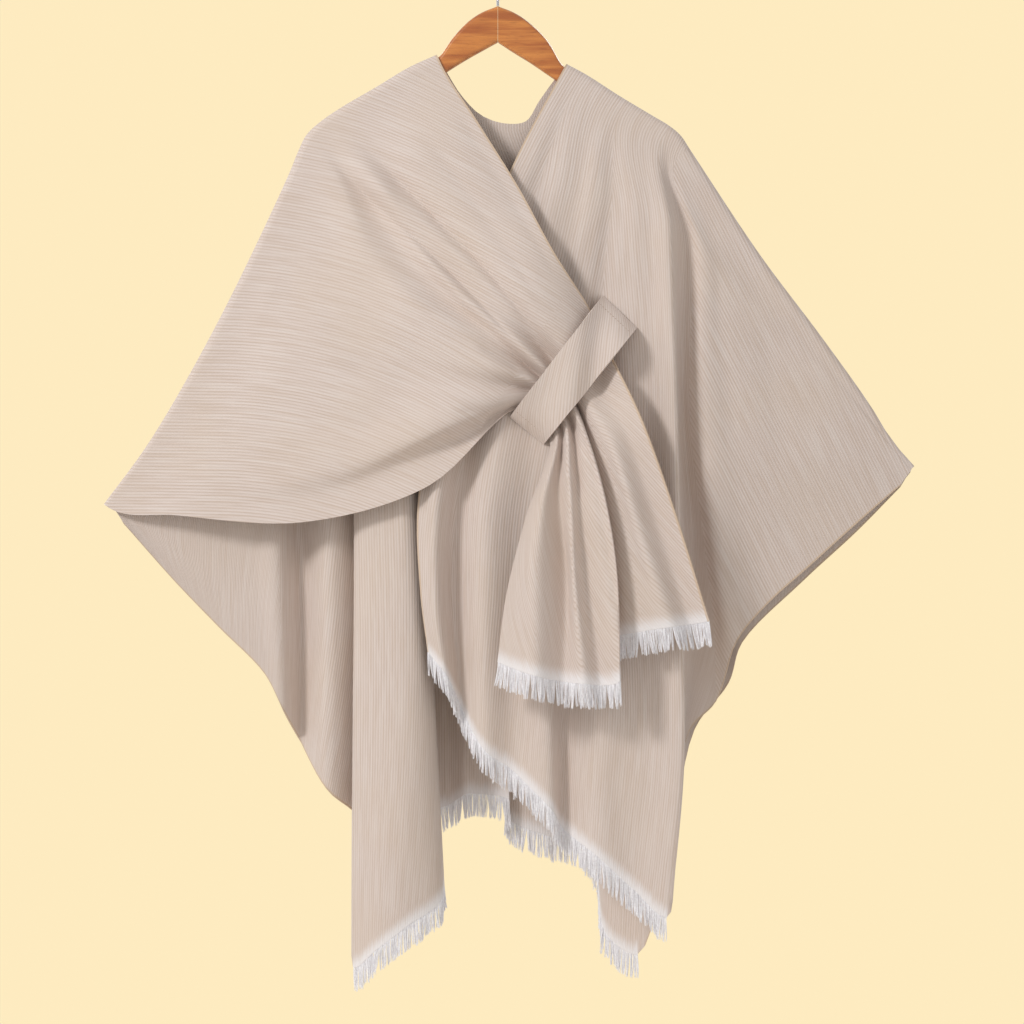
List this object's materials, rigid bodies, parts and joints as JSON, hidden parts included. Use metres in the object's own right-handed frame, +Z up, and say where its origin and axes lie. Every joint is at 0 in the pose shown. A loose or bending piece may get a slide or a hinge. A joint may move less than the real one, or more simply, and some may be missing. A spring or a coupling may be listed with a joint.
{
  "type": "wrap cape on a hanger",
  "caption": "Open-front woven wrap cape with fringed hems, one front drawn through a sewn loop band, hung on a wooden clothes hanger.",
  "frame": {"origin": "inside top of the hanger's hook, where a rail carries it", "axes": "+Z up, -Y towards the viewer of the front, +X to the viewer's right, which is the wearer's left"},
  "size_m": [0.9727, 0.1959, 1.2445],
  "materials": {
    "woven_cloth": "soft beige twill",
    "band_cloth": "soft beige twill, doubled and stitched",
    "fringe_threads": "loose off-white warp threads",
    "varnished_wood": "glossy orange-brown varnish",
    "hook_steel": "bright wire"
  },
  "bodies": {
    "root": {"back": "woven_cloth", "front_left": "woven_cloth", "front_right": "woven_cloth", "loop_band": "band_cloth", "fringe_back": "fringe_threads", "fringe_front_left_side_part": "fringe_threads", "fringe_front_left_slit_part": "fringe_threads", "fringe_front_right_side_part": "fringe_threads", "fringe_front_right_slit_part": "fringe_threads", "hanger_left": "varnished_wood", "hanger_right": "varnished_wood", "hanger_hook": "hook_steel"}
  },
  "joints": []
}
